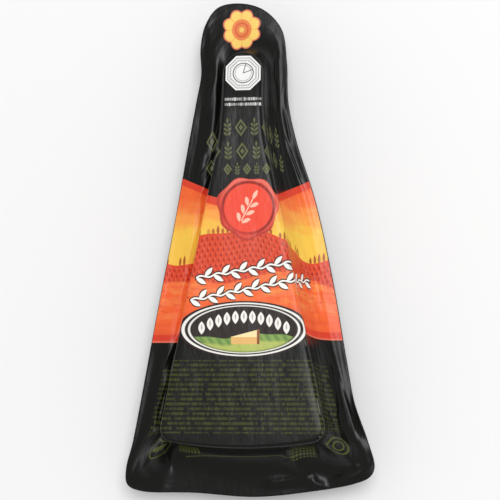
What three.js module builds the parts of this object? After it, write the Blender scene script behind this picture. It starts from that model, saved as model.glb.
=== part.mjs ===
// A vacuum-packed wedge of hard sheep's-milk cheese, cut from a round wheel and sealed between two films.
// It lies on its back film with the printed front film up: +Y points to the wedge's tip, +Z is up, and
// the flat back rests on z = 0. The back film is a formed pocket round the wedge's lower half. The front
// film clings to the wedge's upper face, hangs from its edges like a tent and is sealed to the back film
// in a flat rim half way up, whose cut edge is the pack's outline.
import * as THREE from "three";
import { mergeVertices } from "three/addons/utils/BufferGeometryUtils.js";

// Driving dimensions, in millimetres.
const WHEEL_RADIUS = 150; // half of a 30 cm wheel: the wedge's length from its point to its rind
const HALF_ANGLE = THREE.MathUtils.degToRad(11.55);
const CHEESE_HEIGHT = 37.5;
const APEX_Y = 78; // where the wedge's two cuts would meet
const NOSE_RADIUS = 7; // the film bridges the wedge's thin point in a nose of this radius
const NOSE_Y = 61.8;
const NOSE_BELLY = 0.15; // below the nose the film stands a little further out
const NOSE_BELLY_Y = 52;
const NOSE_DROP = 2.5; // the point sits a little lower than the rest of the face
const NOSE_DROP_FROM_Y = 46;
const CORNER_RADIUS = 5; // in plan, where the cuts meet the rind
const EDGE_RADIUS_LEFT = 0.8; // round the upper edge, sharper along the left cut
const EDGE_RADIUS_RIGHT = 1.6;
const FOOT_EDGE_RADIUS = 2.5;
const RIM_TOP = 18; // the sealed rim's upper face
const RIM_THICKNESS = 0.7; // two films, sealed
const RIM_REACH = 12; // about how far the rim stands out from the wedge
const SEAL_WIDTH = 3; // the part of the rim that is quite flat
const RIM_FILLET = 4; // the back film turns from the rim into the pocket's wall
const CREASED_SHARE = 0.6; // the back film follows the front film's creases this far in from the cut edge
const WALL_GAP = 0.8; // how far the pocket's wall stands off the wedge at the rim
const WALL_FOOT_GAP = 0.2;

// The pack's cut outline in plan, anticlockwise from the middle of its round top.
const OUTLINE = [
  [-3, 90],
  [-11.6, 88.7],
  [-16.4, 82.2],
  [-18.2, 73.5],
  [-17.9, 64],
  [-19.6, 54],
  [-25.6, 21],
  [-34.4, -26],
  [-42.6, -69.5],
  [-45.05, -80.5],
  [-44.4, -85.9],
  [-39.6, -88.2],
  [-20, -88.8],
  [2, -90],
  [21, -88.1],
  [37.5, -85.1],
  [43.6, -82.4],
  [45.2, -78.9],
  [42.7, -69.4],
  [38, -55.6],
  [35.3, -41],
  [30.4, -12],
  [24, 17],
  [17.2, 39],
  [14.4, 53],
  [13.9, 68],
  [12, 80],
  [5.5, 87.3],
];
const OUTLINE_FOOT = 13; // the point in the middle of the base

// Creases in the front film: from, to, height and half width. A height below zero is a furrow.
const CREASES = [
  { from: [13.5, -71], to: [21, -83.5], height: 2.2, halfWidth: 6 },
  { from: [4, -85], to: [21, -83.5], height: 1, halfWidth: 3.5 },
  { from: [21, -83.5], to: [28, -86.5], height: 1.2, halfWidth: 3.5 },
  { from: [29, -86], to: [43, -76], height: 1.4, halfWidth: 3.5 },
  { from: [28, -68], to: [40, -79], height: 1.8, halfWidth: 5 },
  { from: [37, -52], to: [42.5, -70], height: 1.2, halfWidth: 3.5 },
  { from: [-28, -69], to: [-41, -83], height: 2, halfWidth: 6 },
  { from: [-36.5, -79], to: [-33, -87.5], height: 1.6, halfWidth: 4 },
  { from: [-29.5, -73.5], to: [-28.4, -80.5], height: -1.2, halfWidth: 4 },
  { from: [-15, 85.5], to: [-14.4, 50], height: 0.5, halfWidth: 3.5 },
];
const CREASE_FADE = 0.3; // share of a crease's length over which it rises and dies away
const CREASE_END = 0.25; // share of its height that is left at its ends

// The rim isn't quite level: waves round it as [turns, height, phase].
const RIM_WAVES = [
  [2, 0.5, 0.4],
  [3, 0.5, 2.1],
  [5, 0.35, 4.0],
  [8, 0.25, 1.2],
];
const CORNERS = [
  [-44, -86],
  [44, -82],
];
const CORNER_LIFT = 2.2; // the rim's two base corners curl up
const CORNER_REACH = 16;

// The front film falls along a superellipse: the lower its exponent, the closer it clings to the wedge.
const TENT_LEFT = 0.33;
const TENT_RIGHT = 0.56;
const TENT_CORNER = 0.66;

// Beside the left cut the film is drawn into a tuck at the wedge's foot and stands up in a swell beyond it.
const TUCK_DEPTH = 1;
const TUCK_HALF_WIDTH = 1.6;
const TUCK_OFFSET = 2.8;
const SWELL_HEIGHT = 1.1;
const SWELL_PLACE = 0.6; // share of the way from the wedge to the seal
const SWELL_HALF_WIDTH = 0.22; // as a share of the same way
const TUCK_FROM_Y = -72;
const TUCK_TO_Y = 72;
const TUCK_FADE = 8;

// How finely the surface is divided.
const STATIONS = 160; // round the pack, an even number
const EDGE_RINGS = 3;
const TENT_RINGS = 11;
const FILLET_RINGS = 3;
const CURVE_STEPS = 1500;
const KNOT_STEPS = 50; // lengths measured between two points of the outline
const MERGE_DISTANCE = 1e-3;

const { lerp, smoothstep, clamp } = THREE.MathUtils;
const smooth = (share) => smoothstep(share, 0, 1);
const plan = (x, y) => new THREE.Vector3(x, y, 0);

function closedCurve(points) {
  const curve = new THREE.CatmullRomCurve3(points, true, "centripetal");
  curve.arcLengthDivisions = CURVE_STEPS;
  return curve;
}

function rindPoint(angle) {
  return plan(WHEEL_RADIUS * Math.sin(angle), APEX_Y - WHEEL_RADIUS * Math.cos(angle));
}

// The wedge's upper edge in plan: nose, left cut, corner, rind, and the same back up on the right.
function wedgeEdge() {
  const left = [];
  for (const degrees of [0, 32, 62, 86]) {
    const a = THREE.MathUtils.degToRad(degrees);
    left.push(plan(-NOSE_RADIUS * Math.sin(a), NOSE_Y + NOSE_RADIUS * Math.cos(a)));
  }
  left.push(plan(-NOSE_RADIUS - NOSE_BELLY, NOSE_BELLY_Y));
  for (const y of [38, 20, -10, -40, -60]) left.push(plan((y - APEX_Y) * Math.tan(HALF_ANGLE), y));
  const reach = WHEEL_RADIUS - CORNER_RADIUS;
  const cornerAngle = HALF_ANGLE - Math.asin(CORNER_RADIUS / reach);
  const corner = plan(-reach * Math.sin(cornerAngle), APEX_Y - reach * Math.cos(cornerAngle));
  for (const share of [0, 0.33, 0.67, 1]) {
    const a = lerp(-HALF_ANGLE, Math.PI / 2 - cornerAngle, share);
    left.push(corner.clone().sub(plan(Math.cos(a), Math.sin(a)).multiplyScalar(CORNER_RADIUS)));
  }
  for (const share of [0.66, 0.33]) left.push(rindPoint(-share * cornerAngle));
  const right = left.slice(1).reverse().map((p) => plan(-p.x, p.y));
  return closedCurve([...left, rindPoint(0), ...right]);
}

// The point on the wedge's edge at a share of its length, with the way out from it.
function edgeAt(edge, share) {
  const tangent = edge.getTangentAt(share);
  return { point: edge.getPointAt(share), normal: plan(tangent.y, -tangent.x) };
}

// Shares of the edge's length that are evenly spread half way out to the rim, so that they fan round
// the corners.
function evenShares(edge, count) {
  const halfWay = [];
  for (let i = 0; i <= CURVE_STEPS; i++) {
    const { point, normal } = edgeAt(edge, i / CURVE_STEPS);
    halfWay.push(point.addScaledVector(normal, RIM_REACH));
  }
  const lengths = [0];
  for (let i = 1; i <= CURVE_STEPS; i++)
    lengths.push(lengths[i - 1] + halfWay[i].distanceTo(halfWay[i - 1]));
  const shares = [];
  for (let k = 0, i = 0; k < count; k++) {
    const want = (k / count) * lengths.at(-1);
    while (lengths[i + 1] <= want) i++;
    shares.push((i + (want - lengths[i]) / (lengths[i + 1] - lengths[i])) / CURVE_STEPS);
  }
  return shares;
}

// Spokes from the wedge's edge to the outline, each half of the wedge matched to its half of the pack.
function makeSpokes() {
  const edge = wedgeEdge();
  const outline = closedCurve(OUTLINE.map(([x, y]) => plan(x, y)));
  const lengths = outline.getLengths(OUTLINE.length * KNOT_STEPS);
  const foot = lengths[OUTLINE_FOOT * KNOT_STEPS] / lengths.at(-1);
  return evenShares(edge, STATIONS).map((share, k) => {
    const turn = k / STATIONS;
    const { point, normal } = edgeAt(edge, share);
    const end = outline.getPointAt(turn < 0.5 ? 2 * turn * foot : lerp(foot, 1, 2 * turn - 1));
    const outward = end.clone().sub(point);
    return { turn, point, normal, end, reach: outward.length(), outward: outward.normalize() };
  });
}

// How much a point in plan belongs to a base corner of the rim, from 0 to 1.
function cornerShare({ x, y }) {
  const distance = Math.min(...CORNERS.map(([cx, cy]) => Math.hypot(x - cx, y - cy)));
  return smooth(1 - distance / CORNER_REACH);
}

// The height of the sealed rim's upper face on a spoke.
function rimHeight({ turn, end }) {
  let height = RIM_TOP + CORNER_LIFT * cornerShare(end);
  for (const [turns, swing, phase] of RIM_WAVES)
    height += swing * Math.sin(turns * turn * 2 * Math.PI + phase);
  return height;
}

function faceHeight(y) {
  return CHEESE_HEIGHT - NOSE_DROP * smooth((y - NOSE_DROP_FROM_Y) / (NOSE_Y + NOSE_RADIUS - NOSE_DROP_FROM_Y));
}

// A value that changes from one for the spokes to the right to one for those to the left.
function rightToLeft({ outward }, right, left) {
  return lerp(right, left, smooth(0.5 - outward.x));
}

function tentExponent(spoke) {
  return lerp(rightToLeft(spoke, TENT_RIGHT, TENT_LEFT), TENT_CORNER, cornerShare(spoke.end));
}

// How much the creases raise the front film at a point in plan.
function creaseRelief({ x, y }) {
  let height = 0;
  for (const crease of CREASES) {
    const from = plan(...crease.from);
    const along = plan(...crease.to).sub(from);
    const offset = plan(x, y).sub(from);
    const share = clamp(offset.dot(along) / along.lengthSq(), 0, 1);
    const away = offset.addScaledVector(along, -share).length() / crease.halfWidth;
    const rise = smooth(Math.min(share, 1 - share) / CREASE_FADE);
    height += crease.height * lerp(CREASE_END, 1, rise) * Math.max(0, 1 - away) ** 2;
  }
  return height;
}

const bell = (x, middle, halfWidth) => Math.exp(-(((x - middle) / halfWidth) ** 2));

// How much the tuck and its swell raise the front film, at a distance from the wedge's edge.
function tuckRelief({ point, reach }, distance) {
  const { x, y } = point;
  const along = smooth((y - TUCK_FROM_Y) / TUCK_FADE) * smooth((TUCK_TO_Y - y) / TUCK_FADE);
  const onLeft = smooth(-x / NOSE_RADIUS);
  const swell = SWELL_HEIGHT * bell(distance / (reach - SEAL_WIDTH), SWELL_PLACE, SWELL_HALF_WIDTH);
  return along * onLeft * (swell - TUCK_DEPTH * bell(distance, TUCK_OFFSET, TUCK_HALF_WIDTH));
}

// A point over a spoke at a distance from the wedge's edge, inward where it is below zero.
function onSpoke({ point, normal, outward }, distance, z) {
  return point.clone().addScaledVector(distance < 0 ? normal : outward, distance).setZ(z);
}

// Angles from 0 to a right angle in equal steps.
const quarterTurn = (steps) => Array.from({ length: steps + 1 }, (_, i) => (i / steps) * (Math.PI / 2));

// The front film on a spoke: round the wedge's upper edge and down the tent to the rim's cut edge.
function frontProfile(spoke) {
  const top = faceHeight(spoke.point.y);
  const rim = rimHeight(spoke);
  const radius = rightToLeft(spoke, EDGE_RADIUS_RIGHT, EDGE_RADIUS_LEFT);
  const shoulder = top - radius;
  const points = quarterTurn(EDGE_RINGS).slice(0, -1).map((a) =>
    onSpoke(spoke, radius * (Math.sin(a) - 1), shoulder + radius * Math.cos(a)));
  const power = 1 / tentExponent(spoke);
  for (let ring = 0; ring <= TENT_RINGS; ring++) {
    const share = ring / TENT_RINGS;
    const distance = (spoke.reach - SEAL_WIDTH) * share ** power;
    const point = onSpoke(spoke, distance, lerp(rim, shoulder, (1 - share) ** power));
    point.z += creaseRelief(point) + tuckRelief(spoke, distance);
    points.push(point);
  }
  points.push(onSpoke(spoke, spoke.reach, rim + creaseRelief(spoke.end)));
  return points;
}

// The back film on a spoke: under the rim, down the pocket's wall and round its foot.
function backProfile(spoke) {
  const under = rimHeight(spoke) - RIM_THICKNESS;
  const points = [];
  points.push(onSpoke(spoke, spoke.reach, under + creaseRelief(spoke.end)));
  points.push(onSpoke(spoke, lerp(WALL_GAP + RIM_FILLET, spoke.reach, CREASED_SHARE), under));
  for (const a of quarterTurn(FILLET_RINGS)) {
    const distance = WALL_GAP + RIM_FILLET * (1 - Math.sin(a));
    points.push(onSpoke(spoke, distance, under - RIM_FILLET * (1 - Math.cos(a))));
  }
  for (const a of quarterTurn(EDGE_RINGS)) {
    const distance = WALL_FOOT_GAP - FOOT_EDGE_RADIUS * (1 - Math.cos(a));
    points.push(onSpoke(spoke, distance, FOOT_EDGE_RADIUS * (1 - Math.sin(a))));
  }
  return points;
}

// Two triangles between four corners, without those that two corners shared by a ladder's end make flat.
function quad(a, b, c, d) {
  const triangles = [[a, b, c], [a, c, d]];
  return triangles.filter((corners) => new Set(corners).size === 3).flat();
}

// The closed surface: rings round the pack, with the flat face inside the first ring and the flat back
// inside the last one closed by rungs from the left spokes to the right ones.
function packGeometry() {
  const profiles = makeSpokes().map((spoke) => [...frontProfile(spoke), ...backProfile(spoke)]);
  const rings = profiles[0].length;
  const at = (station, ring) => (station % STATIONS) * rings + ring;
  const faces = [];
  for (let s = 0; s < STATIONS; s++)
    for (let r = 0; r < rings - 1; r++)
      faces.push(...quad(at(s, r), at(s, r + 1), at(s + 1, r + 1), at(s + 1, r)));
  for (let s = 0; s < STATIONS / 2; s++) {
    const across = STATIONS - s;
    faces.push(...quad(at(s, 0), at(s + 1, 0), at(across - 1, 0), at(across, 0)));
    const last = rings - 1;
    faces.push(...quad(at(across, last), at(across - 1, last), at(s + 1, last), at(s, last)));
  }
  const geometry = new THREE.BufferGeometry();
  const positions = profiles.flat().flatMap((p) => p.toArray());
  geometry.setAttribute("position", new THREE.Float32BufferAttribute(positions, 3));
  geometry.setIndex(faces);
  const merged = mergeVertices(geometry, MERGE_DISTANCE);
  merged.computeVertexNormals();
  return merged;
}

const film = new THREE.MeshStandardMaterial({ color: 0x262623, roughness: 0.38, metalness: 0 });
const pack = new THREE.Mesh(packGeometry(), film);
pack.name = "pack";

const group = new THREE.Group();
group.add(pack);

export default group;
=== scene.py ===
"""The looks of a vacuum-packed cheese wedge: its wrinkled, printed, glossy film, in plain studio light."""
import math

import bpy
import numpy as np
from mathutils import Matrix, Vector


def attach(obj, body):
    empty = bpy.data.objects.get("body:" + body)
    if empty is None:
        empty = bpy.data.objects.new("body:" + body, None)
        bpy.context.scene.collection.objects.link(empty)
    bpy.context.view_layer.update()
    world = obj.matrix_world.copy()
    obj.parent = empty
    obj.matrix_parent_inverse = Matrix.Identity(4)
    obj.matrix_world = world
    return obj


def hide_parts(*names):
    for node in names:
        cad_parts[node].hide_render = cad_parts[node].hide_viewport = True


MM = 0.001

# The pack's driving dimensions in millimetres, as in the solid model.
WHEEL_RADIUS = 150
HALF_ANGLE = math.radians(11.55)
CHEESE_HEIGHT = 37.5
APEX_Y = 78
NOSE_RADIUS = 7
NOSE_Y = 61.8
NOSE_BELLY = 0.15
NOSE_BELLY_Y = 52
NOSE_DROP = 2.5
NOSE_DROP_FROM_Y = 46
CORNER_RADIUS = 5
EDGE_RADIUS_LEFT = 0.8
EDGE_RADIUS_RIGHT = 1.6
EDGE_ROUND = EDGE_RADIUS_RIGHT * math.pi / 2
FOOT_EDGE_RADIUS = 2.5
RIM_TOP = 18
RIM_THICKNESS = 0.7
RIM_REACH = 12
SEAL_WIDTH = 3
RIM_FILLET = 4
CREASED_SHARE = 0.6
WALL_GAP = 0.8
WALL_FOOT_GAP = 0.2
OUTLINE = [
    (-3, 90), (-11.6, 88.7), (-16.4, 82.2), (-18.2, 73.5), (-17.9, 64), (-19.6, 54), (-25.6, 21),
    (-34.4, -26), (-42.6, -69.5), (-45.05, -80.5), (-44.4, -85.9), (-39.6, -88.2), (-20, -88.8),
    (2, -90), (21, -88.1), (37.5, -85.1), (43.6, -82.4), (45.2, -78.9), (42.7, -69.4), (38, -55.6),
    (35.3, -41), (30.4, -12), (24, 17), (17.2, 39), (14.4, 53), (13.9, 68), (12, 80), (5.5, 87.3),
]
OUTLINE_FOOT = 13

# Knots of the wedge's edge: turns round the nose, places down a cut, shares round a corner and of the rind.
NOSE_TURNS = (0, 32, 62, 86)
CUT_KNOTS_Y = (38, 20, -10, -40, -60)
CORNER_SHARES = (0, 0.33, 0.67, 1)
RIND_SHARES = (0.66, 0.33)

# Creases as (from, to, height, half width), with a furrow below zero.
CREASES = [
    ((13.5, -71), (21, -83.5), 2.2, 6),
    ((4, -85), (21, -83.5), 1, 3.5),
    ((21, -83.5), (28, -86.5), 1.2, 3.5),
    ((29, -86), (43, -76), 1.4, 3.5),
    ((28, -68), (40, -79), 1.8, 5),
    ((37, -52), (42.5, -70), 1.2, 3.5),
    ((-28, -69), (-41, -83), 2, 6),
    ((-36.5, -79), (-33, -87.5), 1.6, 4),
    ((-29.5, -73.5), (-28.4, -80.5), -1.2, 4),
    ((-15, 85.5), (-14.4, 50), 0.5, 3.5),
]
CREASE_FADE = 0.3
CREASE_END = 0.25

# Finer creases that only the film has, each as above.
FINE_CREASES = [
    ((5.3, -85.2), (14, -83.8), 0.3, 2.4),
    ((12, -84), (20.9, -82.4), 0.35, 2.4),
    ((20.4, -76.8), (24.4, -85.2), 0.5, 2.2),
    ((20.9, -82.4), (26, -87), 0.3, 2.2),
    ((30.2, -83.6), (39.7, -80.1), 0.35, 2.4),
    ((38, -80.8), (43.7, -76.2), 0.35, 2.4),
    ((12, -78), (17.6, -71), 0.5, 2),
    ((25.3, -69.8), (26.9, -77.8), 0.6, 1.6),
    ((36.6, -51), (40.6, -62), 0.4, 1.6),
    ((40, -60.5), (43.4, -70), 0.4, 1.6),
    ((-39.2, -76), (-42.7, -83.5), 0.5, 2),
    ((-33.6, -81.2), (-35.6, -86.4), 0.5, 1.8),
    ((-29.7, -72), (-29.2, -78.5), 0.5, 1.5),
    ((-16.2, 35), (-18, 26), 0.5, 1.2),
    ((-12.6, 63), (-15.2, 48), 0.3, 1.8),
    ((9.1, 77), (9.2, 62), 0.3, 1.6),
    ((9.2, 63), (10.4, 49), 0.4, 1.6),
    ((12.6, 52), (15.4, 37), 0.4, 1.6),
    ((27.5, -38), (32, -63), 1.1, 3),
]

# Slight pleats down the two long sides, drawn at random between these bounds.
PLEAT_SPAN = (-58, 44)
PLEAT_COUNT = 15
PLEAT_JITTER = 4
PLEAT_LENGTHS = (10, 32)
PLEAT_STARTS_AWAY = (2, 6)
PLEAT_ENDS_AWAY = (3, 9.5)
PLEAT_HEIGHTS = (0.12, 0.4)
PLEAT_HALF_WIDTHS = (0.9, 1.7)

# Seeds of the random patterns.
DRAW_SEED = 1
FINE_DRAW_SEED = 2
WAVE_SEED = 3
POCKET_DRAW_SEED = 4
POCKET_WAVE_SEED = 5
FACE_WAVE_SEED = 6
PLEAT_SEED = 7
WEAR_HIGHLIGHT_SEED = 8

# Draws are fine ridges along the sides, and waves are low swells.
DRAW_HEIGHT = 0.06
DRAW_WIDTH = 1.15
DRAW_LENGTH = 26
WAVE_HEIGHT = 0.28
WAVE_WIDTH = 6
WAVE_LENGTH = 13
FACE_WAVE_HEIGHT = 0.12
FACE_WAVE_SIZE = (7, 16)
POCKET_DRAW_HEIGHT = 0.07
POCKET_DRAW_PITCH = 1.8
POCKET_DRAW_LENGTH = 14
NOISE_ROWS = 128

# Draws and waves grow from the film's upper edge and its cut edge, and the pack's two ends have less of them.
RELIEF_FADE = 3
RELIEF_FADE_AT_RIM = 2
RELIEF_AT_ENDS = 0.3
SIDEWAYS_SPAN = (5 / 18, 15 / 18)
POCKET_FADE_IN = (0.2, 0.5)
POCKET_FADE_OUT = (1, 0.75)

# The bends down the film are rounded in some passes, less so round the wedge's edge.
SOFTEN_PASSES = 10
EDGE_SOFTNESS = 0.3

# The print is worn in patches along the wedge's right upper edge, from its wide end up to here, and is
# painted lighter there as a highlight of that lit edge.
WEAR_HIGHLIGHT_RING = 2.8
WEAR_HIGHLIGHT_HALF_WIDTH = 1.2
WEAR_HIGHLIGHT_LENGTH = 3
WEAR_HIGHLIGHT_PATCHES = (-0.375, 0.875)
WEAR_HIGHLIGHT_RIGHTWARD_SPAN = (0.3, 0.8)
WEAR_HIGHLIGHT_TO_Y = 30
WEAR_HIGHLIGHT_FADE = 12

# The rim's waves as (turns round the pack, swing, phase), its lifted corners, and how the film hangs.
RIM_WAVES = [(2, 0.5, 0.4), (3, 0.5, 2.1), (5, 0.35, 4.0), (8, 0.25, 1.2)]
CORNERS = [(-44, -86), (44, -82)]
CORNER_LIFT = 2.2
CORNER_REACH = 16
TENT_LEFT = 0.33
TENT_RIGHT = 0.56
TENT_CORNER = 0.66

# Beside the left cut the film is drawn into a tuck at the wedge's foot and stands up in a swell beyond it.
TUCK_DEPTH = 1
TUCK_HALF_WIDTH = 1.6
TUCK_OFFSET = 2.8
SWELL_HEIGHT = 1.1
SWELL_PLACE = 0.6
SWELL_HALF_WIDTH = 0.22
TUCK_FROM_Y = -72
TUCK_TO_Y = 72
TUCK_FADE = 8

# The print runs down the walls with the film. Round the nose, where the film is drawn out, it does so less.
PRINT_RUN_AT_NOSE = 0.12
NOSE_PRINT_SPAN = (0.3, 0.8)

# The print's places and sizes, in millimetres on the flat print.
BAND_TOP_V = 15
BAND_TOP_SLOPE = 0.5
BAND_TOP_BEND = 16
BAND_FOOT_V = -31.2
BORDER_WIDTH = 2.8
ROW_PITCH = 1.9
TREE_PITCH = 1.7
SEAL_CENTRE = (2.2, 12.4)
SEAL_RADIUS = 10.9
SEAL_FACE_RADIUS = 8.6
GARLANDS = [((-16.3, -12.2), (17.7, -6.9)), ((-18.3, -20.1), (34.6, -10.1))]
LEAF_PITCH = 3.1
PLAQUE_CENTRE = (0.7, -30.4)
PLAQUE_SIZE = (22.2, 9.4)
PETAL_PITCH = 3
MEDALLION_CENTRE = (-2.8, 81.4)
MEDALLION_RADIUS = 7.7
MEDALLION_PETAL_DEPTH = 1.3
BADGE_CENTRE = (0.2, 60.8)
BADGE_HALF_WIDTH = 6.3
BADGE_CUTS = (20, 75)
WHITE_ROWS_CENTRE = (0.4, 50.3)
WHITE_ROWS_SIZE = (6.6, 1.9)
WHITE_ROWS_PITCH = 1.9
TEXT_CENTRE = (-4.4, -53.9)
TEXT_SIZE = (46.4, 12.8)
TEXT_PITCH = 1.7
TEXT_SLANT = 0.21
DASH_PITCH = 0.84
DASH_HALF_LENGTH = 0.34
LEAF_MARK_CENTRE = (-35.9, -76.1)
OVAL_MARK_CENTRE = (37.5, -74.1)
GRID_MARK_CENTRE = (21.5, -82)
BARS_MARK_CENTRE = (-24, -86.6)
BASE_LINE_CENTRE = (-3, -87.3)
BASE_LINE_TURN = 8.7

# Rows of lozenges and sprigs as (start, end, middle, half height).
TITLE_ROWS = [(-31.6, 26, 41, 3.1), (-32.4, 27.6, 32.6, 3.1), (-6.8, 10.4, 26.2, 2.1)]

# The film's finish. Noise is given as (its sizes across, along and up, its strength).
SPECULAR_LEVEL = 0.22
ROUGHNESS = 0.32
ROUGH_PATCHES = ((9, 14, 9), 0.04)
ROUGH_GRAIN = ((1.2, 7, 1.2), 0.02)
FINE_WRINKLES = ((0.9, 2.6, 1.1), 0.006)
BROAD_WRINKLES = ((3.5, 8, 3.5), 0.04)
STAIN_SIZE = (5, 12)
STAIN_COVER = 0.07
WEAR_HIGHLIGHT_COVER = 0.4

# How finely the film is divided.
STATIONS = 560
EDGE_RINGS = 8
TENT_RINGS = 72
SEAL_RINGS = 8
CUT_RINGS = 6
UNDER_RINGS = 10
FILLET_RINGS = 8
WALL_RINGS = 10
FACE_COLUMNS = 20
SPLINE_STEPS = 120
CURVE_STEPS = 4000

# The camera looks down on the pack, tilted a little to the right and to the foot of the pack.
CAMERA_TILT_RIGHT = math.radians(7.6)
CAMERA_TILT_FOOT = math.radians(4.5)
CAMERA_TARGET = (0.53, -1.15, 20)
CAMERA_DISTANCE = 600.0
CAMERA_LENS = 119.25
CAMERA_SENSOR = 36

# The studio, in metres and watts.
KEY_PLACE = (0.24, 0.21, 1.35)
KEY_SIZE = 0.6
KEY_POWER = 9.6
WORLD_STRENGTH = 0.58
FLOOR_SIZE = 6
FLOOR_WHITE = (0.93, 0.93, 0.93, 1)
FLOOR_ROUGHNESS = 0.9


def lerp(a, b, share):
    return a + (b - a) * share


def smooth(share):
    share = np.clip(share, 0, 1)
    return share * share * (3 - 2 * share)


def ramp(value, start, end):
    """From 0 to 1, smoothly, as a value goes from a start to an end."""
    return smooth((value - start) / (end - start))


def bell(x, middle, half_width):
    return np.exp(-(((x - middle) / half_width) ** 2))


def running_length(points):
    steps = np.linalg.norm(np.diff(points, axis=0), axis=1)
    return np.concatenate([[0], np.cumsum(steps)])


def closed_curve(knots):
    """A dense closed centripetal Catmull-Rom spline through points in plan."""
    here = np.array(knots, float)[:, None, :]
    before, after, beyond = (np.roll(here, shift, axis=0) for shift in (1, -1, -2))
    step_before, step, step_after = (
        np.linalg.norm(b - a, axis=2, keepdims=True) ** 0.5
        for a, b in ((before, here), (here, after), (after, beyond))
    )
    leave = (here - before) / step_before - (after - before) / (step_before + step)
    leave = (leave + (after - here) / step) * step
    arrive = (after - here) / step - (beyond - here) / (step + step_after)
    arrive = (arrive + (beyond - after) / step_after) * step
    t = np.linspace(0, 1, SPLINE_STEPS, endpoint=False)[None, :, None]
    bend = 3 * (after - here) - 2 * leave - arrive
    twist = 2 * (here - after) + leave + arrive
    points = (here + leave * t + bend * t**2 + twist * t**3).reshape(-1, 2)
    return np.vstack([points, points[:1]])


def along(curve, share):
    """Points at shares of a curve's length."""
    lengths = running_length(curve)
    want = np.mod(share, 1) * lengths[-1]
    return np.stack([np.interp(want, lengths, curve[:, axis]) for axis in (0, 1)], axis=-1)


def rind_point(angle):
    return (WHEEL_RADIUS * math.sin(angle), APEX_Y - WHEEL_RADIUS * math.cos(angle))


def wedge_edge():
    """The wedge's upper edge in plan: nose, left cut, corner, rind, and the same back up on the right."""
    left = []
    for a in np.radians(NOSE_TURNS):
        left.append((-NOSE_RADIUS * math.sin(a), NOSE_Y + NOSE_RADIUS * math.cos(a)))
    left.append((-NOSE_RADIUS - NOSE_BELLY, NOSE_BELLY_Y))
    for y in CUT_KNOTS_Y:
        left.append(((y - APEX_Y) * math.tan(HALF_ANGLE), y))
    reach = WHEEL_RADIUS - CORNER_RADIUS
    corner_angle = HALF_ANGLE - math.asin(CORNER_RADIUS / reach)
    corner = (-reach * math.sin(corner_angle), APEX_Y - reach * math.cos(corner_angle))
    for share in CORNER_SHARES:
        a = lerp(-HALF_ANGLE, math.pi / 2 - corner_angle, share)
        left.append((corner[0] - CORNER_RADIUS * math.cos(a), corner[1] - CORNER_RADIUS * math.sin(a)))
    for share in RIND_SHARES:
        left.append(rind_point(-share * corner_angle))
    right = [(-x, y) for x, y in reversed(left[1:])]
    return closed_curve(left + [rind_point(0)] + right)


def edge_at(edge, share):
    """Points on the wedge's edge at shares of its length, with the ways out from it."""
    nudge = 1 / CURVE_STEPS
    tangent = along(edge, share + nudge) - along(edge, share - nudge)
    normal = np.stack([tangent[:, 1], -tangent[:, 0]], axis=1)
    return along(edge, share), normal / np.linalg.norm(normal, axis=1, keepdims=True)


class Spokes:
    """Spokes from the wedge's edge to the outline, each half of the wedge matched to its half of the pack."""

    def __init__(self):
        edge = wedge_edge()
        outline = closed_curve(OUTLINE)
        even = np.linspace(0, 1, CURVE_STEPS + 1)
        point, normal = edge_at(edge, even)
        half_way = running_length(point + RIM_REACH * normal)
        self.turn = np.arange(STATIONS) / STATIONS
        share = np.interp(self.turn * half_way[-1], half_way, even)
        self.point, self.normal = edge_at(edge, share)
        lengths = running_length(outline)
        foot = lengths[OUTLINE_FOOT * SPLINE_STEPS] / lengths[-1]
        half = 2 * self.turn
        self.end = along(outline, np.where(half < 1, half * foot, lerp(foot, 1, half - 1)))
        outward = self.end - self.point
        self.reach = np.linalg.norm(outward, axis=1)
        self.outward = outward / self.reach[:, None]
        self.top = face_height(self.point[:, 1])
        self.edge_radius = right_to_left(self, EDGE_RADIUS_RIGHT, EDGE_RADIUS_LEFT)
        self.rim = rim_height(self)
        self.lap = half_way[-1]

    def at(self, distance, z):
        """Points over every spoke at a distance from the wedge's edge, inward where it is below zero."""
        way = np.where((distance < 0)[:, None], self.normal, self.outward)
        return np.column_stack([self.point + way * distance[:, None], z])


def corner_share(points):
    """How much points in plan belong to a base corner of the rim, from 0 to 1."""
    away = [np.hypot(points[:, 0] - x, points[:, 1] - y) for x, y in CORNERS]
    return smooth(1 - np.minimum(*away) / CORNER_REACH)


def rim_height(spokes):
    height = RIM_TOP + CORNER_LIFT * corner_share(spokes.end)
    for turns, swing, phase in RIM_WAVES:
        height = height + swing * np.sin(turns * spokes.turn * 2 * math.pi + phase)
    return height


def face_height(y):
    return CHEESE_HEIGHT - NOSE_DROP * ramp(y, NOSE_DROP_FROM_Y, NOSE_Y + NOSE_RADIUS)


def right_to_left(spokes, right, left):
    """A value that changes from one for the spokes to the right to one for those to the left."""
    return lerp(right, left, smooth(0.5 - spokes.outward[:, 0]))


def tent_exponent(spokes):
    return lerp(right_to_left(spokes, TENT_RIGHT, TENT_LEFT), TENT_CORNER, corner_share(spokes.end))


def crease_relief(points, creases):
    """How much creases raise the front film at points in plan."""
    height = np.zeros(len(points))
    for start, end, rise, half_width in creases:
        way = np.subtract(end, start)
        offset = points[:, :2] - start
        share = np.clip(offset @ way / (way @ way), 0, 1)
        away = np.linalg.norm(offset - share[:, None] * way, axis=1) / half_width
        fade = smooth(np.minimum(share, 1 - share) / CREASE_FADE)
        height += rise * lerp(CREASE_END, 1, fade) * np.maximum(0, 1 - away) ** 2
    return height


def tuck_relief(spokes, distance):
    """How much the tuck beside the left cut and its swell raise the front film."""
    x, y = spokes.point.T
    along_side = ramp(y, TUCK_FROM_Y, TUCK_FROM_Y + TUCK_FADE) * ramp(y, TUCK_TO_Y, TUCK_TO_Y - TUCK_FADE)
    on_left = ramp(x, 0, -NOSE_RADIUS)
    swell = SWELL_HEIGHT * bell(distance / (spokes.reach - SEAL_WIDTH), SWELL_PLACE, SWELL_HALF_WIDTH)
    return along_side * on_left * (swell - TUCK_DEPTH * bell(distance, TUCK_OFFSET, TUCK_HALF_WIDTH))


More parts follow.
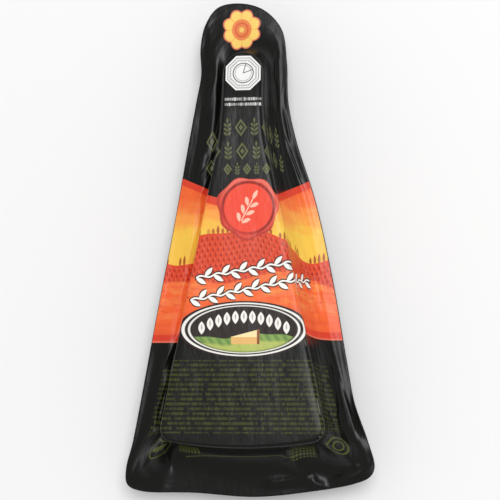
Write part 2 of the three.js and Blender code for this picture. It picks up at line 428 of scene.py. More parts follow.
def value_noise(x, y, cells, seed):
    """Smooth noise from -1 to 1 with a knot at each whole number, repeating after some cells along x."""
    knots = np.random.default_rng(seed).uniform(-1, 1, (cells, NOISE_ROWS))
    column, row = np.floor(x).astype(int), np.floor(y).astype(int)
    corners = [[knots[(column + i) % cells, (row + j) % NOISE_ROWS] for i in (0, 1)] for j in (0, 1)]
    near, far = (lerp(left, right, smooth(x - column)) for left, right in corners)
    return lerp(near, far, smooth(y - row))


def beside_cut(side, y, away):
    """The point in plan at a distance from one of the wedge's cuts, the left one where side is -1."""
    return (side * ((APEX_Y - y) * math.tan(HALF_ANGLE) + away / math.cos(HALF_ANGLE)), y)


def make_pleats():
    """Pleats down both sides, each as a crease is given."""
    random = np.random.default_rng(PLEAT_SEED)
    pleats = []
    for side in (-1, 1):
        for y in np.linspace(*PLEAT_SPAN, PLEAT_COUNT):
            start_y = y + random.uniform(-PLEAT_JITTER, PLEAT_JITTER)
            end_y = start_y - random.uniform(*PLEAT_LENGTHS)
            start = beside_cut(side, start_y, random.uniform(*PLEAT_STARTS_AWAY))
            end = beside_cut(side, end_y, random.uniform(*PLEAT_ENDS_AWAY))
            height = random.uniform(*PLEAT_HEIGHTS)
            pleats.append((start, end, height, random.uniform(*PLEAT_HALF_WIDTHS)))
    return pleats


def run_down(rings):
    """How far each point lies down the film from the first ring, in millimetres."""
    steps = np.linalg.norm(np.diff(rings, axis=0), axis=2)
    return np.concatenate([np.zeros((1, STATIONS)), np.cumsum(steps, axis=0)])


def soften(rings):
    """Rings whose bends are rounded, as each ring is drawn towards its neighbours."""
    rings = rings.copy()
    down = (np.arange(1, len(rings) - 1) - EDGE_RINGS) / EDGE_RINGS
    amount = lerp(EDGE_SOFTNESS, 1, smooth(down))[:, None, None]
    for _ in range(SOFTEN_PASSES):
        rings[1:-1] = lerp(rings[1:-1], (rings[:-2] + rings[2:]) / 2, amount / 2)
    return rings


def raised(rings, height):
    """Rings moved out of the film's surface by a height at each point."""
    down = np.gradient(rings, axis=0)
    round_pack = np.roll(rings, -1, axis=1) - np.roll(rings, 1, axis=1)
    normal = np.cross(down, round_pack)
    return rings + normal / np.linalg.norm(normal, axis=2, keepdims=True) * height[..., None]


def noise_on_film(spokes, run, length, width, seed):
    """Smooth noise over the film, with features of a length round the pack and a width down the film."""
    cells = round(spokes.lap / length)
    return value_noise(np.broadcast_to(spokes.turn * cells, run.shape), run / width, cells, seed)


def front_relief(spokes, rings):
    """The height of draws, waves, pleats and fine creases on the front film."""
    run = run_down(rings)
    sideways = ramp(abs(spokes.outward[:, 0]), *SIDEWAYS_SPAN)
    on_wall = ramp(run, EDGE_ROUND, EDGE_ROUND + RELIEF_FADE) * lerp(RELIEF_AT_ENDS, 1, sideways)
    inside_cut_edge = ramp(run[-1] - run, 0, RELIEF_FADE_AT_RIM)
    draws = noise_on_film(spokes, run, DRAW_LENGTH, DRAW_WIDTH, DRAW_SEED) * DRAW_HEIGHT
    draws += noise_on_film(spokes, run, DRAW_LENGTH / 2, DRAW_WIDTH / 2, FINE_DRAW_SEED) * DRAW_HEIGHT / 2
    waves = noise_on_film(spokes, run, WAVE_LENGTH, WAVE_WIDTH, WAVE_SEED) * WAVE_HEIGHT
    creases = crease_relief(rings.reshape(-1, 3), FINE_CREASES + make_pleats()).reshape(run.shape)
    return inside_cut_edge * (on_wall * (draws + waves) + creases)


def back_relief(spokes, rings):
    """The height of the draws down the pocket's wall, none at the rim and on the flat back."""
    run = run_down(rings)
    share = run / run[-1]
    on_wall = ramp(share, *POCKET_FADE_IN) * ramp(share, *POCKET_FADE_OUT)
    draws = noise_on_film(spokes, run, POCKET_DRAW_PITCH, POCKET_DRAW_LENGTH, POCKET_DRAW_SEED)
    waves = noise_on_film(spokes, run, WAVE_LENGTH, WAVE_WIDTH, POCKET_WAVE_SEED)
    return on_wall * (draws * POCKET_DRAW_HEIGHT + waves * WAVE_HEIGHT / 2)


def face_waves(points):
    """Low swells of the film on the wedge's upper face, at points in plan."""
    x, y = points[..., 0] / FACE_WAVE_SIZE[0], points[..., 1] / FACE_WAVE_SIZE[1]
    return value_noise(x, y, NOISE_ROWS, FACE_WAVE_SEED) * FACE_WAVE_HEIGHT


def quarter_turn(steps):
    return np.linspace(0, math.pi / 2, steps + 1)


def front_rings(spokes):
    """Rings of the front film, round the wedge's upper edge and down the tent to the rim's cut edge."""
    radius = spokes.edge_radius
    shoulder = spokes.top - radius
    rings = []
    for a in quarter_turn(EDGE_RINGS)[:-1]:
        rings.append(spokes.at(radius * (math.sin(a) - 1), shoulder + radius * math.cos(a)))
    power = 1 / tent_exponent(spokes)
    for share in np.linspace(0, 1, TENT_RINGS + 1):
        distance = (spokes.reach - SEAL_WIDTH) * share**power
        ring = spokes.at(distance, lerp(spokes.rim, shoulder, (1 - share) ** power))
        ring[:, 2] += crease_relief(ring, CREASES) + tuck_relief(spokes, distance)
        rings.append(ring)
    cut_radius = RIM_THICKNESS / 2
    for share in np.linspace(0, 1, SEAL_RINGS + 1)[1:]:
        distance = lerp(spokes.reach - SEAL_WIDTH, spokes.reach - cut_radius, share)
        ring = spokes.at(distance, spokes.rim)
        ring[:, 2] += crease_relief(ring, CREASES)
        rings.append(ring)
    rings = soften(np.array(rings))
    rings = raised(rings, front_relief(spokes, rings))
    on_face = smooth(1 - np.arange(len(rings)) / EDGE_RINGS)
    rings[..., 2] += face_waves(rings) * on_face[:, None]
    return rings


def back_rings(spokes):
    """Rings round the cut edge and down the back film, under the rim, down the pocket and round its foot."""
    ones = np.ones(STATIONS)
    under = spokes.rim - RIM_THICKNESS
    edge_rise = crease_relief(spokes.end, CREASES)
    radius = RIM_THICKNESS / 2
    rings = []
    for a in np.linspace(0, math.pi, CUT_RINGS + 1)[1:]:
        distance = spokes.reach - radius * (1 - math.sin(a))
        rings.append(spokes.at(distance, under + radius * (1 + math.cos(a)) + edge_rise))
    bend = WALL_GAP + RIM_FILLET
    for share in np.linspace(1, 0, UNDER_RINGS + 1)[1:-1]:
        fade = ramp(share, CREASED_SHARE, 1)
        rings.append(spokes.at(lerp(bend, spokes.reach - radius, share), under + edge_rise * fade))
    for a in quarter_turn(FILLET_RINGS):
        distance = WALL_GAP + RIM_FILLET * (1 - math.sin(a))
        rings.append(spokes.at(distance * ones, under - RIM_FILLET * (1 - math.cos(a))))
    wall_top = under - RIM_FILLET
    for share in np.linspace(0, 1, WALL_RINGS + 1)[1:-1]:
        distance = lerp(WALL_GAP, WALL_FOOT_GAP, share)
        rings.append(spokes.at(distance * ones, lerp(wall_top, FOOT_EDGE_RADIUS, share)))
    for a in quarter_turn(EDGE_RINGS):
        distance = WALL_FOOT_GAP - FOOT_EDGE_RADIUS * (1 - math.cos(a))
        rings.append(spokes.at(distance * ones, FOOT_EDGE_RADIUS * (1 - math.sin(a)) * ones))
    rings = np.array(rings)
    return raised(rings, back_relief(spokes, rings))


def face_grid(ring, height):
    """The points between the left and the right half of a ring, as rows from the nose to the rind."""
    half = STATIONS // 2
    left = ring[1:half]
    right = ring[: half : -1]
    share = np.linspace(0, 1, FACE_COLUMNS + 1)[1:-1][None, :, None]
    grid = left[:, None, :] + (right - left)[:, None, :] * share
    grid[..., 2] = height(grid)
    return grid


def ring_faces(rings):
    """Faces between each ring and the next."""
    ring, station = np.meshgrid(np.arange(rings - 1), np.arange(STATIONS), indexing="ij")
    after = (station + 1) % STATIONS
    corners = (ring * STATIONS + station, (ring + 1) * STATIONS + station,
               (ring + 1) * STATIONS + after, ring * STATIONS + after)
    return np.stack(corners, axis=-1).reshape(-1, 4)


def face_faces(ring_start, grid_start, faces_up):
    """Faces that fill a ring with its grid, closed to a triangle at the nose and at the rind."""
    half = STATIONS // 2
    rows = half - 1
    inner = grid_start + np.arange(rows * (FACE_COLUMNS - 1)).reshape(rows, FACE_COLUMNS - 1)
    left = ring_start + np.arange(1, half)
    right = ring_start + STATIONS - np.arange(1, half)
    grid = np.column_stack([left, inner, right])
    quads = np.stack([grid[:-1, :-1], grid[1:, :-1], grid[1:, 1:], grid[:-1, 1:]], axis=-1)
    nose, rind = grid[0].tolist(), grid[-1].tolist()
    ends = [(ring_start, a, b) for a, b in zip(nose, nose[1:])]
    ends += [(ring_start + half, b, a) for a, b in zip(rind, rind[1:])]
    faces = quads.reshape(-1, 4).tolist() + ends
    return faces if faces_up else [face[::-1] for face in faces]


def print_places(spokes, front):
    """Where each point of the front rings lies on the flat print, in millimetres."""
    surplus = run_down(front) - run_down(front[..., :2])
    share = lerp(1, PRINT_RUN_AT_NOSE, ramp(spokes.normal[:, 1], *NOSE_PRINT_SPAN))
    return front[..., :2] + (surplus * share)[..., None] * spokes.normal


def ridge_wear_and_highlight(spokes, rings):
    """How worn the print is, and how much painted highlight it has, from 0 to 1, in a broken line along the
    wedge's right upper edge.
    """
    on_ridge = bell(np.arange(rings)[:, None], WEAR_HIGHLIGHT_RING, WEAR_HIGHLIGHT_HALF_WIDTH)
    cells = round(spokes.lap / WEAR_HIGHLIGHT_LENGTH)
    patches = value_noise(spokes.turn * cells, np.zeros(STATIONS), cells, WEAR_HIGHLIGHT_SEED)
    on_right = ramp(spokes.outward[:, 0], *WEAR_HIGHLIGHT_RIGHTWARD_SPAN)
    on_right = on_right * ramp(spokes.point[:, 1], WEAR_HIGHLIGHT_TO_Y, WEAR_HIGHLIGHT_TO_Y - WEAR_HIGHLIGHT_FADE)
    return on_ridge * ramp(patches, *WEAR_HIGHLIGHT_PATCHES) * on_right


def marked(places, printed):
    """Places on the print with a third number, 1 on the printed front and 0 on the plain back."""
    return np.column_stack([places, np.full(len(places), printed)])


def set_vectors(mesh, name, vectors):
    """Gives each point of a mesh a vector that a material can read by its name."""
    attribute = mesh.attributes.new(name, "FLOAT_VECTOR", "POINT")
    attribute.data.foreach_set("vector", vectors.ravel())


def make_pack():
    spokes = Spokes()
    front = front_rings(spokes)
    under = back_rings(spokes)
    rings = np.concatenate([front, under])
    top = face_grid(rings[0], lambda grid: face_height(grid[..., 1]) + face_waves(grid)).reshape(-1, 3)
    back = face_grid(rings[-1], lambda grid: 0).reshape(-1, 3)
    points = np.vstack([rings.reshape(-1, 3), top, back])
    top_start = len(rings) * STATIONS
    faces = ring_faces(len(rings)).tolist()
    faces += face_faces(0, top_start, True)
    faces += face_faces(top_start - STATIONS, top_start + len(top), False)
    mesh = bpy.data.meshes.new("film_pack")
    mesh.from_pydata((points * MM).tolist(), [], faces)
    printed = print_places(spokes, front).reshape(-1, 2)
    edge_places = np.tile(printed[-STATIONS:], (len(under), 1))
    back_places = np.zeros((len(back), 2))
    sides = [marked(printed, 1), marked(edge_places, 0), marked(top[:, :2], 1), marked(back_places, 0)]
    set_vectors(mesh, "print", np.vstack(sides))
    # Worn print and painted highlight along the wedge's right upper edge, for the material to read.
    wear_and_highlight = np.zeros((len(points), 3))
    wear_and_highlight[: len(printed), 0] = ridge_wear_and_highlight(spokes, len(front)).ravel()
    set_vectors(mesh, "wear_and_highlight", wear_and_highlight)
    mesh.shade_smooth()
    mesh.materials.append(make_film())
    pack = bpy.data.objects.new("film_pack", mesh)
    bpy.context.scene.collection.objects.link(pack)
    return pack


class Num:
    """A number that varies over the surface, made of Math nodes."""

    def __init__(self, tree, socket):
        self.tree = tree
        self.socket = socket

    def math(self, operation, *others):
        node = self.tree.nodes.new("ShaderNodeMath")
        node.operation = operation
        for slot, value in zip(node.inputs, (self, *others)):
            if isinstance(value, Num):
                self.tree.links.new(value.socket, slot)
            else:
                slot.default_value = value
        return Num(self.tree, node.outputs[0])

    def __add__(self, other):
        return self.math("ADD", other)

    def __sub__(self, other):
        return self.math("SUBTRACT", other)

    def __rsub__(self, other):
        return self * -1 + other

    def __mul__(self, other):
        return self.math("MULTIPLY", other)

    def __truediv__(self, other):
        return self.math("DIVIDE", other)

    def __mod__(self, other):
        return self.math("FLOORED_MODULO", other)

    def __abs__(self):
        return self.math("ABSOLUTE")

    def sin(self):
        return self.math("SINE")

    def floor(self):
        return self.math("FLOOR")

    def up_to(self, other):
        return self.math("MINIMUM", other)

    def at_least(self, other):
        return self.math("MAXIMUM", other)

    def clamped(self):
        return self.at_least(0).up_to(1)

    def hypot(self, other):
        return (self * self + other * other).math("SQRT")

    def angle_to(self, other):
        return self.math("ARCTAN2", other)

    __radd__ = __add__
    __rmul__ = __mul__


def linear(level):
    """A screen's level, from 0 to 255, as Blender's linear number."""
    return ((level / 255 + 0.055) / 1.055) ** 2.4 if level > 10 else level / 3295


def srgb(red, green, blue):
    return (linear(red), linear(green), linear(blue), 1)


BLACK = srgb(11, 11, 9)
OLIVE = srgb(77, 82, 28)
TITLE_COLOUR = srgb(98, 101, 62)

# The sky's colours, each with the height up to which it reaches.
SKY_COLOURS = [
    (15, srgb(244, 104, 52)),
    (16.5, srgb(245, 122, 60)),
    (11.5, srgb(248, 164, 76)),
    (5.5, srgb(247, 202, 80)),
]

# A shape is a Num that is positive inside it, in millimetres from its edge.


def turned(u, v, centre, degrees=0):
    """Coordinates in a frame at a centre, turned by an angle."""
    a = math.radians(degrees)
    du, dv = u - centre[0], v - centre[1]
    return du * math.cos(a) + dv * math.sin(a), dv * math.cos(a) - du * math.sin(a)


def disc(x, y, radius):
    return radius - x.hypot(y)


def ring(x, y, radius, half_width):
    return half_width - abs(x.hypot(y) - radius)


def oval(x, y, half_length, half_height):
    return (1 - (x / half_length).hypot(y / half_height)) * min(half_length, half_height)


def bar(x, y, half_length, half_height):
    return (half_length - abs(x)).up_to(half_height - abs(y))


def leaf(x, y, half_length, half_height):
    """A pointed oval."""
    return half_height * (1 - (x / half_length) * (x / half_length)) - abs(y)


def repeat(x, pitch):
    """The coordinate in the nearest of equal cells, and the cell's number."""
    cell = (x / pitch + 0.5).floor()
    return x - cell * pitch, cell


def soft_step(shape, softness=0.12):
    """From 0 outside a shape to 1 inside it, over a width in millimetres."""
    return (shape / softness + 0.5).clamped()


class Print:
    """Layers of ink on the film. Each is laid over the last where its shape is positive."""

    def __init__(self, u, v, colour):
        self.tree, self.u, self.v = u.tree, u, v
        self.colour = colour

    def at(self, centre, degrees=0):
        return turned(self.u, self.v, centre, degrees)

    def lay(self, shape, colour, cover=1.0, softness=0.12):
        mix = self.tree.nodes.new("ShaderNodeMix")
        mix.data_type = "RGBA"
        below, above = (slot for slot in mix.inputs if slot.type == "RGBA")
        amount = soft_step(shape, softness) * cover
        self.tree.links.new(amount.socket, mix.inputs["Factor"])
        if isinstance(self.colour, tuple):
            below.default_value = self.colour
        else:
            self.tree.links.new(self.colour, below)
        above.default_value = colour
        self.colour = next(slot for slot in mix.outputs if slot.type == "RGBA")

    def noise(self, size_u, size_v, detail=2.0):
        return noise((self.u, self.v), (size_u, size_v), detail)


def noise(coordinates, sizes, detail=2.0):
    """Noise from about -1 to 1 with features of about the given sizes, in the coordinates' unit."""
    tree = coordinates[0].tree
    joined = tree.nodes.new("ShaderNodeCombineXYZ")
    for slot, coordinate, size in zip(joined.inputs, coordinates, sizes):
        tree.links.new((coordinate / size).socket, slot)
    texture = tree.nodes.new("ShaderNodeTexNoise")
    texture.inputs["Scale"].default_value = 1
    texture.inputs["Detail"].default_value = detail
    tree.links.new(joined.outputs[0], texture.inputs["Vector"])
    return Num(tree, texture.outputs["Fac"]) * 4 - 2


def print_band(p):
    """A wide band of dunes under an evening sky, edged by red stripes."""
    u, v = p.u, p.v
    above_foot = v - BAND_FOOT_V
    below_top = (u.hypot(BAND_TOP_BEND) - BAND_TOP_BEND) * BAND_TOP_SLOPE + BAND_TOP_V - v
    band = soft_step(below_top.up_to(above_foot))
    p.lay(below_top.up_to(above_foot), SKY_COLOURS[0][1])
    wisps = p.noise(9, 3) * 2.6 + abs(u) * 0.12
    for level, colour in SKY_COLOURS[1:]:
        p.lay(level - v + wisps, colour, band, softness=5)
    far = (u * 0.085 + 1.6).sin() * 3.8 + (u * 0.31).sin() * 0.7 + 0.9
    print_trees(p, v - far, band)
    p.lay(far - v, srgb(222, 76, 46), band, softness=0.3)
    print_rows(p, far - v, band)
    near = (u * 0.1 - 0.9).sin() * 2.4 + (u * 0.23).sin() * 0.6 - 11.5
    p.lay(near - v, srgb(246, 104, 52), band, softness=0.3)
    drift = p.noise(16, 3)
    p.lay((near - v).up_to(drift * 2), srgb(246, 134, 80), band * 0.7, softness=2)
    p.lay((near - v).up_to(p.noise(6, 2) - 0.5), srgb(249, 172, 84), band * 0.6, softness=0.9)
    p.lay((far - v).up_to(p.noise(3.6, 1.3) - 0.6), srgb(198, 56, 36), band * 0.5, softness=0.6)
    low = (u * 0.07 + 2).sin() * 1.6 - 21
    p.lay(low - v, srgb(246, 106, 52), band, softness=3)
    p.lay((low - 2 - v).up_to(drift), srgb(226, 84, 52), band * 0.6, softness=1.5)
    for edge in (below_top, above_foot):
        p.lay(BORDER_WIDTH - edge, srgb(222, 66, 43), band, softness=0.5)
    p.lay(0.5 - above_foot, srgb(236, 118, 94), band, softness=0.4)


def print_rows(p, depth, band):
    """Dark rows of short strokes that follow the crest of a dune, at a depth below it."""
    row_y, row = repeat(depth, ROW_PITCH)
    stroke = repeat(p.u + row * 0.9, ROW_PITCH)[0]
    inside = depth - 0.9
    dark = leaf(row_y, stroke, 0.8, 0.45)
    p.lay(inside.up_to(dark), srgb(172, 44, 30), band * 0.75, softness=0.3)
    light = leaf(row_y + 0.5, stroke - 0.5, 0.5, 0.3)
    p.lay(inside.up_to(light), srgb(240, 120, 84), band * 0.5, softness=0.3)


def print_trees(p, above, band):
    """Slim trees of random heights on the crest of a dune, at a height above it."""
    stem, cell = repeat(p.u, TREE_PITCH)
    size = random_number(cell, cell)
    height = size * 2.6 + 0.6
    tree = leaf(above - height * 0.4, stem, height * 0.7, 0.52)
    p.lay(tree.up_to(size * 2 - 0.7), srgb(158, 44, 30), band * 0.85, softness=0.3)


def sprig(x, y, length):
    """A stem along x with three pairs of leaves and one at its tip."""
    pitch = length / 4
    cell_x, cell = repeat(x + pitch / 2, pitch)
    a = math.radians(36)
    leaf_x, leaf_y = cell_x - pitch * 0.15, abs(y) - pitch * 0.5
    along_leaf = leaf_x * math.cos(a) + leaf_y * math.sin(a)
    across_leaf = leaf_y * math.cos(a) - leaf_x * math.sin(a)
    pairs = leaf(along_leaf, across_leaf, pitch * 0.62, pitch * 0.22).up_to(1.5 - abs(cell))
    tip = leaf(x - length * 0.42, y, pitch * 0.6, pitch * 0.22)
    return pairs.at_least(tip).at_least(bar(x, y, length * 0.42, pitch * 0.07))


def print_seal(p):
    """A lobed wax seal with a sprig pressed into it."""
    x, y = p.at(SEAL_CENTRE)
    away, angle = x.hypot(y), y.angle_to(x)
    lobes = (angle * 7 + 0.6).sin() * 0.45 + (angle * 3).sin() * 0.3
    edge = SEAL_RADIUS + lobes - away
    lit = (y * 0.8 + x * 0.5) / SEAL_RADIUS
    p.lay(edge, srgb(222, 78, 60))
    p.lay((0.5 - abs(edge - 0.8)).up_to(lit), srgb(240, 122, 104), cover=0.7, softness=0.5)
    p.lay((0.45 - abs(edge - 0.4)).up_to(-1 * lit), srgb(170, 44, 34), cover=0.7, softness=0.5)
    groove = ring(x, y, SEAL_FACE_RADIUS + 0.4, 0.55)
    p.lay(groove, srgb(198, 54, 40), softness=0.5)
    p.lay(groove.up_to(lit + 0.5), srgb(146, 34, 25), cover=0.9, softness=0.5)
    p.lay(disc(x, y, SEAL_FACE_RADIUS), srgb(241, 76, 54), softness=0.4)
    p.lay(sprig(*p.at(SEAL_CENTRE, 62), 12.5), srgb(250, 196, 172), softness=0.2)


def print_garland(p, start, end):
    """A wavy stem with a leaf on each side in turn, in white with a dark outline."""
    length = math.dist(start, end)
    x, y = p.at(start, math.degrees(math.atan2(end[1] - start[1], end[0] - start[0])))
    cells = round(length / LEAF_PITCH)
    pitch = length / cells
    wave = (x * (math.pi / pitch)).sin() * 0.45
    stem = (0.3 - abs(y - wave)).up_to(length / 2 - abs(x - length / 2))
    cell_x, cell = repeat(x - pitch / 2, pitch)
    side = (cell % 2) * 2 - 1
    a = math.radians(40)
    leaf_y = y * side - 1.35
    along_leaf = cell_x * math.cos(a) + leaf_y * math.sin(a)
    across_leaf = leaf_y * math.cos(a) - cell_x * math.sin(a)
    leaves = leaf(along_leaf, across_leaf, 2.1, 0.8)
    leaves = leaves.up_to(cell + 0.5).up_to(cells - 0.5 - cell)
    shape = stem.at_least(leaves)
    p.lay(shape + 0.45, srgb(66, 26, 22))
    p.lay(shape, srgb(252, 250, 243))


def print_plaque(p):
    """A dark oval plaque edged by white lines, with a row of petals over a green mound and a wedge."""
    x, y = p.at(PLAQUE_CENTRE)
    shape = oval(x, y, *PLAQUE_SIZE)
    p.lay(shape + 0.55, srgb(40, 22, 20))
    p.lay(shape, srgb(246, 244, 238))
    p.lay(shape - 0.5, srgb(44, 34, 32))
    p.lay(0.17 - abs(shape - 1.15), srgb(240, 238, 230))
    inside = shape - 1.6
    mound = (x * 0.2 + 0.4).sin() * 0.9 + (x * 0.47 + 1).sin() * 0.4 - 2.2
    p.lay(inside.up_to(mound - y), srgb(140, 168, 88), softness=0.3)
    rows = (x * 2.1 + y * 1.3).sin() * 0.35
    p.lay(inside.up_to(mound - y).up_to(rows), srgb(92, 132, 66), cover=0.7, softness=0.5)
    p.lay(inside.up_to(mound - 2.4 - y), srgb(190, 198, 104), cover=0.85, softness=1)
    cell_x, cell = repeat(x, PETAL_PITCH)
    arch = 4.4 - cell * cell * (PETAL_PITCH * PETAL_PITCH * 0.017)
    petals = leaf(y - arch, cell_x, 2.3, 1.15).up_to(5.5 - abs(cell))
    p.lay(petals, srgb(247, 245, 238))
    p.lay(leaf(y - arch - 0.2, cell_x, 1.2, 0.3).up_to(5.5 - abs(cell)), srgb(120, 112, 104), cover=0.6)
    wedge_x, wedge_y = p.at((PLAQUE_CENTRE[0] + 0.5, PLAQUE_CENTRE[1] - 2.6))
    side = (1.3 - abs(wedge_y + 1.3)).up_to(5 - abs(wedge_x))
    upper = (wedge_y + 0.1).up_to(5 - wedge_x).up_to((wedge_x + 5) * 0.26 - wedge_y)
    p.lay(side, srgb(232, 184, 112))
    p.lay(upper, srgb(250, 230, 172))
    p.lay(side.at_least(upper).up_to(wedge_x - 4.1), srgb(146, 82, 44))


def print_medallion(p):
    """A flower with eight petals."""
    x, y = p.at(MEDALLION_CENTRE)
    away, petal = x.hypot(y), abs((y.angle_to(x) * 4).sin())
    edge = MEDALLION_RADIUS - (1 - petal) * MEDALLION_PETAL_DEPTH - away
    p.lay(edge + 0.25, srgb(222, 122, 96), softness=0.3)
    p.lay(edge - 0.35, srgb(252, 212, 112), softness=0.4)
    p.lay((0.5 - petal * 2.5).up_to(edge - 0.5), srgb(240, 170, 84), cover=0.5, softness=0.6)
    p.lay(disc(x, y, 4), srgb(238, 136, 78), softness=0.4)
    p.lay(ring(x, y, 2.5, 0.35), srgb(214, 92, 58), cover=0.8, softness=0.4)
    p.lay(disc(x, y, 1), srgb(252, 206, 110), softness=0.4)


def print_badge(p):
    """A white eight-sided badge with a cut wheel in grey."""
    x, y = p.at(BADGE_CENTRE)
    slant = BADGE_HALF_WIDTH - (abs(x) + abs(y)) * math.sqrt(0.5)
    badge = bar(x, y, BADGE_HALF_WIDTH, BADGE_HALF_WIDTH).up_to(slant)
    grey = srgb(74, 74, 72)
    p.lay(badge, srgb(243, 243, 241))
    p.lay(0.14 - abs(badge - 0.8), grey, cover=0.8)
    beads = repeat(y.angle_to(x) * (24 / math.pi), 1)[0]
    p.lay((0.3 - abs(badge - 1.7)).up_to(0.3 - abs(beads)), grey, cover=0.7)
    p.lay(ring(x, y, 3.6, 0.2), grey, cover=0.9)
    p.lay(ring(x, y, 2.9, 0.12), grey, cover=0.6)
    for degrees in BADGE_CUTS:
        cut_x, cut_y = p.at(BADGE_CENTRE, degrees)
        p.lay(bar(cut_x - 1.8, cut_y, 1.8, 0.16), grey, cover=0.9)


def random_number(x, y):
    """A number from 0 to 1 for each pair of whole numbers."""
    joined = x.tree.nodes.new("ShaderNodeCombineXYZ")
    x.tree.links.new(x.socket, joined.inputs[0])
    x.tree.links.new(y.socket, joined.inputs[1])
    noise_node = x.tree.nodes.new("ShaderNodeTexWhiteNoise")
    noise_node.noise_dimensions = "2D"
    x.tree.links.new(joined.outputs[0], noise_node.inputs["Vector"])
    return Num(x.tree, noise_node.outputs["Value"])


def print_dashes(p, centre, half_size, pitch, colour, cover, slant=0.0):
    """Rows of little strokes of random strength, in words of random length, on a field that may widen."""
    x, y = p.at(centre)
    row_y, row = repeat(y - pitch / 2, pitch)
    field = (half_size[1] - abs(y)).up_to(half_size[0] - y * slant - abs(x))
    stroke, cell = repeat(p.u + row * 3.1, DASH_PITCH)
    strength = random_number(cell, row)
    shift = random_number(row, row) * 50
    word = (p.u * 0.55 + shift).sin() + (p.u * 1.31 + shift * 1.7).sin() * 0.7
    height = pitch * (0.2 + strength * 0.1) - abs(row_y)
    shape = field.up_to(height).up_to(DASH_HALF_LENGTH - abs(stroke)).up_to(word * 0.5 + 0.6)
    p.lay(shape, colour, cover=(strength * 0.7 + 0.3) * cover, softness=0.25)


def print_title(p):
    """Rows of lozenges and sprigs, a little lighter than the black above the band."""
    for start, end, middle, half_height in TITLE_ROWS:
        cells = round((end - start) / (half_height * 1.55))
        pitch = (end - start) / cells
        cell_x, cell = repeat(p.u - start - pitch / 2, pitch)
        y = p.v - middle
        lozenge = half_height * 0.7 - abs(cell_x) - abs(y) * 0.7
        framed = (0.34 - abs(lozenge - 0.34)).at_least(lozenge - half_height * 0.45)
        odd = cell % 2
        upright = sprig(y, cell_x, half_height * 2)
        shape = framed.up_to(1 - odd * 9).at_least(upright.up_to(odd * 9 - 1))
        p.lay(shape.up_to(cell + 0.5).up_to(cells - 0.5 - cell), TITLE_COLOUR, softness=0.25)


def print_small_marks(p):
    """The little marks along the base: a leaf in a ring, two ovals, a grid, pairs of bars, and a line."""
    x, y = p.at(LEAF_MARK_CENTRE)
    p.lay(ring(x, y, 5, 0.4).at_least(leaf(x, y, 3.4, 1.3)), OLIVE)
    x, y = p.at(OVAL_MARK_CENTRE)
    p.lay((0.35 - abs(oval(x, y, 5.4, 3.8))).at_least(0.3 - abs(oval(x, y, 2.8, 1.9))), OLIVE)
    x, y = p.at(GRID_MARK_CENTRE)
    cell_x, cell_y = repeat(x, 1.3)[0], repeat(y, 2)[0]
    p.lay(bar(x, y, 5, 3.9).up_to(bar(cell_x, cell_y, 0.4, 0.65)), OLIVE)
    x, y = p.at(BARS_MARK_CENTRE)
    cell_x = repeat(x, 2.6)[0]
    p.lay(bar(x, y, 5, 2.2).up_to(0.35 - abs(abs(cell_x) - 0.65)), OLIVE)
    x, y = p.at(BASE_LINE_CENTRE, BASE_LINE_TURN)
    p.lay(bar(x, y, 22.5, 0.25), OLIVE, cover=0.7)


def make_film():
    """Glossy black film with its print, slightly uneven, worn and painted with a highlight along its right
    upper edge, and finely wrinkled.
    """
    film = bpy.data.materials.new("printed_film")
    film.use_nodes = True
    tree = film.node_tree
    shader = tree.nodes["Principled BSDF"]
    u, v, front = read_attribute(tree, "print")
    wear_and_highlight = read_attribute(tree, "wear_and_highlight")[0]
    p = Print(u, v, BLACK)
    print_title(p)
    print_band(p)
    print_dashes(p, TEXT_CENTRE, TEXT_SIZE, TEXT_PITCH, OLIVE, 0.78, slant=TEXT_SLANT)
    print_small_marks(p)
    for start, end in GARLANDS:
        print_garland(p, start, end)
    print_seal(p)
    print_plaque(p)
    print_medallion(p)
    print_badge(p)
    print_dashes(p, WHITE_ROWS_CENTRE, WHITE_ROWS_SIZE, WHITE_ROWS_PITCH, srgb(225, 225, 222), 0.95)
    p.lay(p.noise(*STAIN_SIZE) - 0.2, srgb(0, 0, 0), cover=STAIN_COVER, softness=1.5)
    # Worn print and a painted highlight, in light grey, along the right upper edge.
    p.lay(wear_and_highlight - 0.5, srgb(150, 146, 136), cover=WEAR_HIGHLIGHT_COVER, softness=0.6)
    p.lay(0.5 - front, BLACK, softness=0.01)
    tree.links.new(p.colour, shader.inputs["Base Color"])
    shader.inputs["Specular IOR Level"].default_value = SPECULAR_LEVEL
    place = place_on_pack(tree)
    patches, grain, fine, broad = (
        noise(place, sizes) * strength
        for sizes, strength in (ROUGH_PATCHES, ROUGH_GRAIN, FINE_WRINKLES, BROAD_WRINKLES)
    )
    roughness = patches + grain + ROUGHNESS
    tree.links.new(roughness.clamped().socket, shader.inputs["Roughness"])
    wrinkles = fine + broad
    bump = tree.nodes.new("ShaderNodeBump")
    bump.inputs["Distance"].default_value = MM
    tree.links.new(wrinkles.socket, bump.inputs["Height"])
    tree.links.new(bump.outputs["Normal"], shader.inputs["Normal"])
    return film


def read_attribute(tree, name):
    """The three numbers of a vector that the mesh holds for each of its points."""
    attribute = tree.nodes.new("ShaderNodeAttribute")
    attribute.attribute_name = name
    split = tree.nodes.new("ShaderNodeSeparateXYZ")
    tree.links.new(attribute.outputs["Vector"], split.inputs[0])
    return [Num(tree, slot) for slot in split.outputs]


def place_on_pack(tree):
    """The place in millimetres on the pack, which stays with it wherever it is moved."""
    coordinates = tree.nodes.new("ShaderNodeTexCoord")
    split = tree.nodes.new("ShaderNodeSeparateXYZ")
    tree.links.new(coordinates.outputs["Object"], split.inputs[0])
    return [Num(tree, slot) / MM for slot in split.outputs]


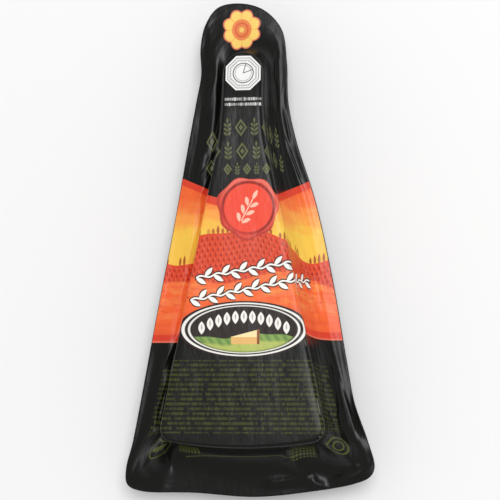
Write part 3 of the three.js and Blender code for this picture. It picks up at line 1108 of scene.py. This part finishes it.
def make_camera():
    camera = bpy.data.objects.new("camera", bpy.data.cameras.new("camera"))
    bpy.context.scene.collection.objects.link(camera)
    back = Vector((math.tan(CAMERA_TILT_RIGHT), -math.tan(CAMERA_TILT_FOOT), 1)).normalized()
    right = Vector((0, 1, 0)).cross(back).normalized()
    up = back.cross(right)
    place = (Vector(CAMERA_TARGET) + back * CAMERA_DISTANCE) * MM
    camera.matrix_world = Matrix.Translation(place) @ Matrix((right, up, back)).transposed().to_4x4()
    camera.data.lens = CAMERA_LENS
    camera.data.sensor_width = CAMERA_SENSOR
    bpy.context.scene.camera = camera


def make_key():
    """The one lamp, nearly overhead and turned to the pack."""
    light = bpy.data.lights.new("key", "AREA")
    light.shape = "DISK"
    light.size = KEY_SIZE
    light.energy = KEY_POWER
    lamp = bpy.data.objects.new("key", light)
    lamp.location = KEY_PLACE
    lamp.rotation_euler = (-Vector(KEY_PLACE)).to_track_quat("-Z", "Y").to_euler()
    bpy.context.scene.collection.objects.link(lamp)


def make_studio():
    make_key()
    world = bpy.data.worlds.new("studio")
    world.use_nodes = True
    background = world.node_tree.nodes["Background"]
    background.inputs["Color"].default_value = (1, 1, 1, 1)
    background.inputs["Strength"].default_value = WORLD_STRENGTH
    bpy.context.scene.world = world
    bpy.context.scene.view_settings.view_transform = "Standard"
    bpy.ops.mesh.primitive_plane_add(size=FLOOR_SIZE)
    floor = bpy.context.object
    floor.name = "floor"
    white = bpy.data.materials.new("floor_white")
    white.use_nodes = True
    shader = white.node_tree.nodes["Principled BSDF"]
    shader.inputs["Base Color"].default_value = FLOOR_WHITE
    shader.inputs["Roughness"].default_value = FLOOR_ROUGHNESS
    floor.data.materials.append(white)


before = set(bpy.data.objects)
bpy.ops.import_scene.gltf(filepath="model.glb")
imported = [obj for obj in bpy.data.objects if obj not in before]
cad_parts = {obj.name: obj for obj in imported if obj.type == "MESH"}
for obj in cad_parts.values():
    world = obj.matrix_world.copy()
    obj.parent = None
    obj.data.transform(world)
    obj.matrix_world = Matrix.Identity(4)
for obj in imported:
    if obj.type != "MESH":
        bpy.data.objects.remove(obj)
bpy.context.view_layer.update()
make_camera()
make_studio()
pack = make_pack()
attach(pack, "root")
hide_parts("pack")
